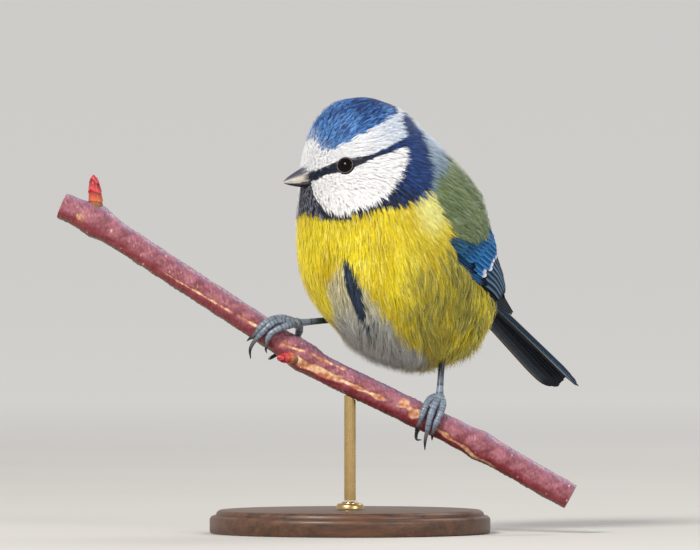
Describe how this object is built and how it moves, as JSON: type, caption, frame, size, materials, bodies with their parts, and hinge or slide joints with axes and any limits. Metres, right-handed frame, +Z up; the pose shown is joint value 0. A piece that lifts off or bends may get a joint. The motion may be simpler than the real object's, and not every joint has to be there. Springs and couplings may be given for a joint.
{
  "type": "blue tit, still model",
  "caption": "Life-size still model of a blue tit gripping a short cut length of branch, on a round display stand.",
  "frame": {"origin": "centre of the flat underside of the stand's round base", "axes": "+Z up; the picture looks along +Y, so +X runs to its right, and the bird's head looks mostly towards -X"},
  "size_m": [0.136, 0.1036, 0.1119],
  "materials": {
    "breast_yellow": "soft feathers, lemon yellow with an olive cast on the flanks",
    "collar_blue": "soft feathers, very dark blue, grey-blue on the nape",
    "face_white": "soft feathers, white cheek and brow, cobalt cap, black eye stripe",
    "eye_black": "polished black glass",
    "horn_grey": "dark horn, satin",
    "wing_blue": "flat vanes, blue coverts with a pale wing bar, dark flight feathers",
    "tail_blue": "flat vanes, slate blue",
    "leg_grey": "ringed scutes, blue-grey, satin",
    "bark_red": "smooth purple-red bark with pale peeled streaks",
    "bud_red": "smooth bright red bud scales",
    "base_wood": "dark turned wood, satin varnish",
    "rod_brass": "turned and brushed"
  },
  "bodies": {
    "root": {"torso": "breast_yellow", "neck": "collar_blue", "head": "face_white", "eye_left": "eye_black", "eye_right": "eye_black", "bill_upper": "horn_grey", "bill_lower": "horn_grey", "wing_left": "wing_blue", "wing_right": "wing_blue", "tail": "tail_blue", "leg_left": "leg_grey", "leg_right": "leg_grey", "claw_left_1": "horn_grey", "claw_left_2": "horn_grey", "claw_left_3": "horn_grey", "claw_left_4": "horn_grey", "claw_right_1": "horn_grey", "claw_right_2": "horn_grey", "claw_right_3": "horn_grey", "claw_right_4": "horn_grey", "perch": "bark_red", "perch_bud_upper": "bud_red", "perch_bud_lower": "bud_red", "stand_base": "base_wood", "stand_collar": "rod_brass", "stand_rod": "rod_brass"}
  },
  "joints": []
}
